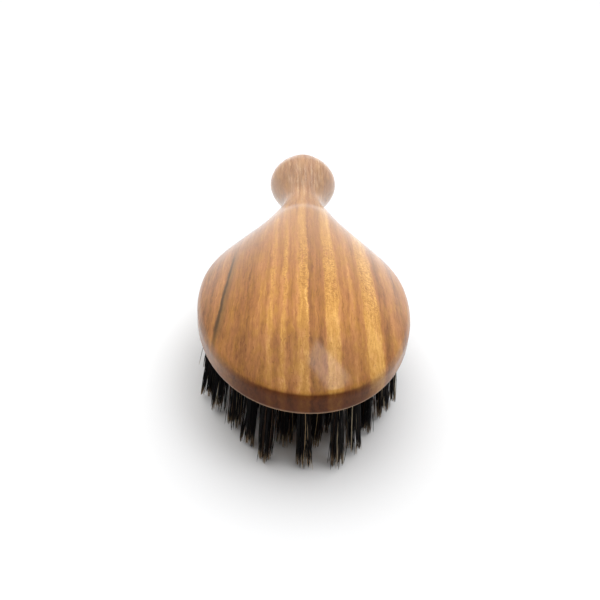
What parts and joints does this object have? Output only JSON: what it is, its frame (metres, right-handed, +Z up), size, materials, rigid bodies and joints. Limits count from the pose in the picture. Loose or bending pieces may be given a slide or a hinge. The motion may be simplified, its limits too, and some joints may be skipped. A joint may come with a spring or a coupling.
{
  "type": "beard brush",
  "caption": "Handled beard and hair brush: one-piece gourd-shaped hardwood body with a domed back, slim neck and ball knob, set with rows of dark bristle tufts.",
  "frame": {"origin": "midway along the brush's length, in its left-right middle plane, in the plane of the bristle tips", "axes": "+Z up from the bristle tips to the domed back, +Y from the head's front towards the handle's knob, +X to the right of a viewer who looks along +Y"},
  "size_m": [0.062, 0.15, 0.0405],
  "materials": {
    "wood": "striped hardwood under a smooth satin-gloss lacquer",
    "bristle": "natural boar bristle, black with some brown and blond hairs and pale split tips",
    "anchor_wire": "bright flat wire"
  },
  "bodies": {
    "root": {"body": "wood", "tuft_row_01": "bristle", "tuft_row_02": "bristle", "tuft_row_03": "bristle", "tuft_row_04": "bristle", "tuft_row_05": "bristle", "tuft_row_06": "bristle", "tuft_row_07": "bristle", "tuft_row_08": "bristle", "tuft_row_09": "bristle", "tuft_row_10": "bristle", "tuft_row_11": "bristle", "tuft_row_12": "bristle", "tuft_row_13": "bristle", "tuft_row_14": "bristle", "tuft_row_15": "bristle", "anchor_row_01": "anchor_wire", "anchor_row_02": "anchor_wire", "anchor_row_03": "anchor_wire", "anchor_row_04": "anchor_wire", "anchor_row_05": "anchor_wire", "anchor_row_06": "anchor_wire", "anchor_row_07": "anchor_wire", "anchor_row_08": "anchor_wire", "anchor_row_09": "anchor_wire", "anchor_row_10": "anchor_wire", "anchor_row_11": "anchor_wire", "anchor_row_12": "anchor_wire", "anchor_row_13": "anchor_wire", "anchor_row_14": "anchor_wire", "anchor_row_15": "anchor_wire"}
  },
  "joints": []
}
